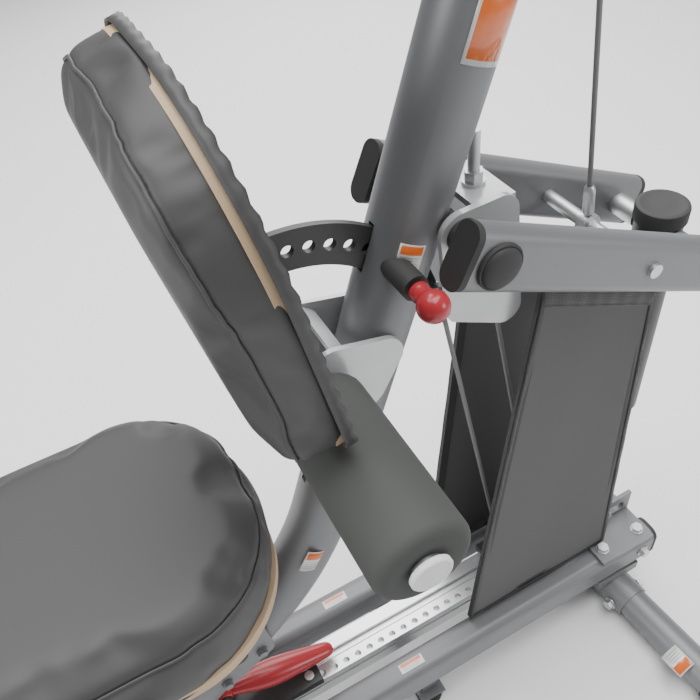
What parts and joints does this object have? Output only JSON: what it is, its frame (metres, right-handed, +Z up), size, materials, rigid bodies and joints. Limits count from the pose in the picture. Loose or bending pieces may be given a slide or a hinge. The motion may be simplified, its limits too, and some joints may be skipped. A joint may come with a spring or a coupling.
{
  "type": "seated cable row",
  "caption": "Seated cable row machine with a leaning mast, tilting pad on foam rollers, padded seat, lever arms, damper in a mesh shroud and a cable handle.",
  "frame": {"origin": "on the floor, under the middle of the machine's length, in its centre plane", "axes": "+X towards the rear (damper end), +Z up, +Y to the machine's right side as its seat's front end is faced from the rear"},
  "size_m": [1.207, 0.6106, 1.22],
  "materials": {
    "frame_paint": "glossy charcoal paint",
    "black_paint": "glossy black paint",
    "track_alu": "anodised extrusion",
    "zinc": "zinc-plated steel",
    "chrome": "bright plate",
    "black_plastic": "moulded black plastic",
    "grey_plastic": "light grey cap",
    "red_plastic": "glossy dark red",
    "rubber": "black rubber",
    "foam": "closed-cell foam",
    "vinyl": "black upholstery vinyl",
    "plywood": "plywood board",
    "cable": "coated wire cable",
    "mesh": "woven mesh"
  },
  "bodies": {
    "base": {"left_rail": "frame_paint", "right_rail": "frame_paint", "rail_end_plugs": "black_plastic", "slider_track": "track_alu", "cross_tubes": "frame_paint", "mast_foot_plate": "frame_paint", "rear_top_plate": "frame_paint", "front_stabilizer": "frame_paint", "front_saddle": "frame_paint", "rear_sockets": "frame_paint", "rear_legs": "frame_paint", "floor_feet": "rubber", "centre_supports": "frame_paint", "base_bolts": "zinc", "foot_plates": "black_plastic", "mast": "frame_paint", "mast_bend": "frame_paint", "pulley_housing": "frame_paint", "cable_guide": "black_plastic", "top_pulley_axle": "zinc", "hub_bracket": "frame_paint", "roller_axle": "zinc", "roller_end_caps": "grey_plastic", "arm_bracket": "frame_paint", "arm_shaft": "zinc", "tension_stud": "zinc", "pad_pin_barrel": "black_plastic", "riser_cable": "cable", "lower_cable": "cable", "seat_bracket": "frame_paint", "shroud_frame": "black_plastic", "shroud_mesh": "mesh"},
    "pad": {"pad_yoke": "black_paint", "pad_board": "plywood", "back_pad": "vinyl", "quadrant_plate": "black_paint"},
    "left_roller": {"left_roller": "foam"},
    "right_roller": {"right_roller": "foam"},
    "pad_pin": {"pad_pin": "red_plastic"},
    "seat": {"seat_post": "frame_paint", "seat_board": "plywood", "seat_cushion": "vinyl"},
    "seat_pin": {"seat_pin": "black_plastic"},
    "arms": {"left_arm": "frame_paint", "right_arm": "frame_paint", "arm_end_caps": "black_plastic", "cable_pin": "zinc", "rear_cross_rod": "zinc"},
    "damper_tube": {"damper_tube": "black_paint"},
    "damper_rod": {"damper_rod": "chrome"},
    "top_pulley": {"top_pulley": "black_plastic"},
    "carriage": {"carriage": "black_paint", "carriage_bar": "track_alu"},
    "lower_pulley": {"lower_pulley": "black_plastic"},
    "lock_lever": {"lock_lever": "red_plastic"},
    "lock_pin": {"lock_pin": "zinc"},
    "handle": {"handle_cable": "cable"},
    "bar": {"handle_link": "zinc", "row_bar": "chrome", "bar_grips": "rubber"}
  },
  "joints": [
    {"name": "handle_pull", "type": "slide", "parent": "base", "child": "handle", "axis": [-1, 0, 0], "range_m": [0, 0.114], "deforming": ["riser_cable"]},
    {"name": "bar_swing", "type": "hinge", "parent": "handle", "child": "bar", "pos_m": [0.1285, 0, 1.195], "axis": [0, 1, 0], "range_deg": [-15, 85]},
    {"name": "arms_lift", "type": "hinge", "parent": "base", "child": "arms", "pos_m": [0.2755, 0, 0.797], "axis": [0, -1, 0], "range_deg": [0, 41], "deforming": ["riser_cable"]},
    {"name": "damper_swing", "type": "hinge", "parent": "arms", "child": "damper_tube", "pos_m": [0.5475, 0, 0.66609], "axis": [0, 1, 0], "range_deg": [0, 43]},
    {"name": "damper_extend", "type": "slide", "parent": "damper_tube", "child": "damper_rod", "axis": [0, 0, -1], "range_m": [0, 0.206]},
    {"name": "top_pulley_spin", "type": "hinge", "parent": "base", "child": "top_pulley", "pos_m": [0.3525, 0, 1.15], "axis": [0, -1, 0], "continuous": true},
    {"name": "pad_tilt", "type": "hinge", "parent": "base", "child": "pad", "pos_m": [0.1285, 0, 0.688], "axis": [0, 1, 0], "range_deg": [-24, 8]},
    {"name": "pad_pin_push", "type": "slide", "parent": "base", "child": "pad_pin", "axis": [0, 1, 0], "range_m": [0, 0.01]},
    {"name": "left_roller_spin", "type": "hinge", "parent": "base", "child": "left_roller", "pos_m": [0.1285, -0.13, 0.688], "axis": [0, 1, 0], "continuous": true},
    {"name": "right_roller_spin", "type": "hinge", "parent": "base", "child": "right_roller", "pos_m": [0.1285, 0.13, 0.688], "axis": [0, 1, 0], "continuous": true},
    {"name": "seat_height", "type": "slide", "parent": "base", "child": "seat", "axis": [0, 0, 1], "range_m": [-0.025, 0.025]},
    {"name": "seat_pin_push", "type": "slide", "parent": "base", "child": "seat_pin", "axis": [0, 1, 0], "range_m": [0, 0.012]},
    {"name": "carriage_slide", "type": "slide", "parent": "base", "child": "carriage", "axis": [1, 0, 0], "range_m": [0, 0.0555], "deforming": ["lower_cable"]},
    {"name": "lower_pulley_spin", "type": "hinge", "parent": "carriage", "child": "lower_pulley", "pos_m": [0.3955, -0.012, 0.192], "axis": [0, 1, 0], "continuous": true},
    {"name": "lock_lever_lift", "type": "hinge", "parent": "carriage", "child": "lock_lever", "pos_m": [-0.0595, 0, 0.196], "axis": [0, -1, 0], "range_deg": [0, 15]},
    {"name": "lock_pin_lift", "type": "slide", "parent": "carriage", "child": "lock_pin", "axis": [0, 0, 1], "range_m": [0, 0.0102]}
  ],
  "couplings": [
    {"joint": "arms_lift", "follows": "handle_pull", "rad_per_m": 6.11},
    {"joint": "damper_swing", "follows": "handle_pull", "rad_per_m": 6.42},
    {"joint": "damper_extend", "follows": "handle_pull", "ratio": 1.788},
    {"joint": "top_pulley_spin", "follows": "handle_pull", "rad_per_m": 22.222},
    {"joint": "lock_pin_lift", "follows": "lock_lever_lift", "m_per_rad": 0.0382}
  ]
}
